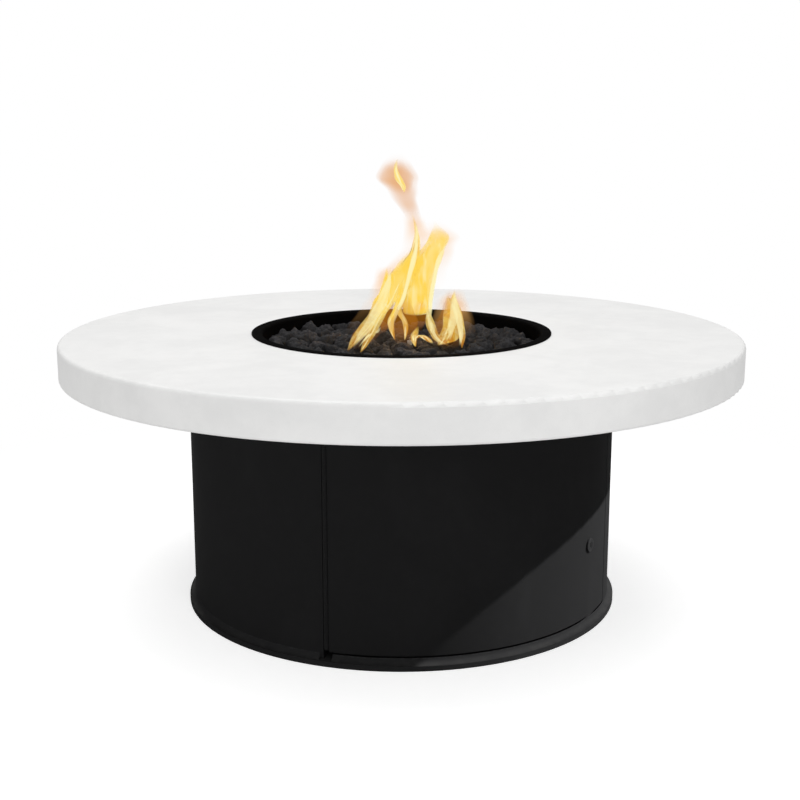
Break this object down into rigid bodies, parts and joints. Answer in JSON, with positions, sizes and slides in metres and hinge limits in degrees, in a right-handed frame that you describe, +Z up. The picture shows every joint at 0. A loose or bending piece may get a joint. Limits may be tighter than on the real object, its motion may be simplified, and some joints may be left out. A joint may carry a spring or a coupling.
{
  "type": "gas fire pit table",
  "caption": "Round gas fire pit table: thick pale concrete top with a burner pan of lava rock, on a black steel drum with a curved access door.",
  "frame": {"origin": "on the floor under the centre of the drum and the round top", "axes": "+Z up, -Y towards the front as pictured, +X to the right"},
  "size_m": [1.2198, 1.22, 0.492],
  "materials": {
    "concrete": "smooth cast, fine mottling",
    "black_powder_coat": "satin powder coat",
    "black_pan_enamel": "matt heatproof enamel",
    "stainless": "brushed",
    "zinc_steel": "zinc plated",
    "black_lock": "black plated",
    "brass": "machined",
    "black_plastic": "fine moulded",
    "red_plastic": "moulded",
    "white_ceramic": "unglazed",
    "lava": "rough porous"
  },
  "bodies": {
    "base": {"concrete_top": "concrete", "base_shell": "black_powder_coat", "door_header": "black_powder_coat", "foot_ring": "black_powder_coat", "top_ring": "black_powder_coat", "hinge_leaf_fixed": "black_powder_coat", "hinge_pin": "black_powder_coat", "hinge_rivets_fixed": "black_powder_coat", "strike_rivets": "black_powder_coat", "lock_strike": "black_powder_coat", "vent_grilles": "black_powder_coat", "control_bracket": "black_powder_coat", "fire_pan": "black_pan_enamel", "burner_ring": "stainless", "air_mixer": "stainless", "gas_tube": "stainless", "electrode_rod": "stainless", "top_bolts": "zinc_steel", "top_inserts": "zinc_steel", "burner_locknut": "zinc_steel", "bracket_bolts": "zinc_steel", "igniter_lock_nut": "zinc_steel", "electrode_lock_nut": "zinc_steel", "jet_fitting": "brass", "valve_body": "brass", "valve_lock_nut": "brass", "inlet_fitting": "brass", "outlet_nut": "brass", "igniter_body": "black_plastic", "electrode_insulator": "white_ceramic", "lava_rocks": "lava"},
    "door": {"access_door": "black_powder_coat", "hinge_leaf_door": "black_powder_coat", "hinge_rivets_door": "black_powder_coat", "lock_housing": "black_lock", "lock_nut": "zinc_steel"},
    "latch": {"lock_plug": "black_lock", "lock_cam": "zinc_steel", "cam_screw": "zinc_steel"},
    "knob": {"valve_stem": "zinc_steel", "control_knob": "black_plastic"},
    "button": {"igniter_button": "red_plastic"}
  },
  "joints": [
    {"name": "door_swing", "type": "hinge", "parent": "base", "child": "door", "pos_m": [-0.12169, -0.36368, 0.22], "axis": [0, 0, -1], "range_deg": [0, 110]},
    {"name": "lock_turn", "type": "hinge", "parent": "door", "child": "latch", "pos_m": [0.32373, -0.21023, 0.152], "axis": [0.8387, -0.5446, 0], "range_deg": [0, 90]},
    {"name": "valve_turn", "type": "hinge", "parent": "base", "child": "knob", "pos_m": [0.14551, -0.30507, 0.3], "axis": [0.4305, -0.9026, 0], "range_deg": [-90, 0]},
    {"name": "igniter_push", "type": "slide", "parent": "base", "child": "button", "axis": [-0.4305, 0.9026, 0], "range_m": [0, 0.004], "stiffness_N_per_m": 600}
  ]
}
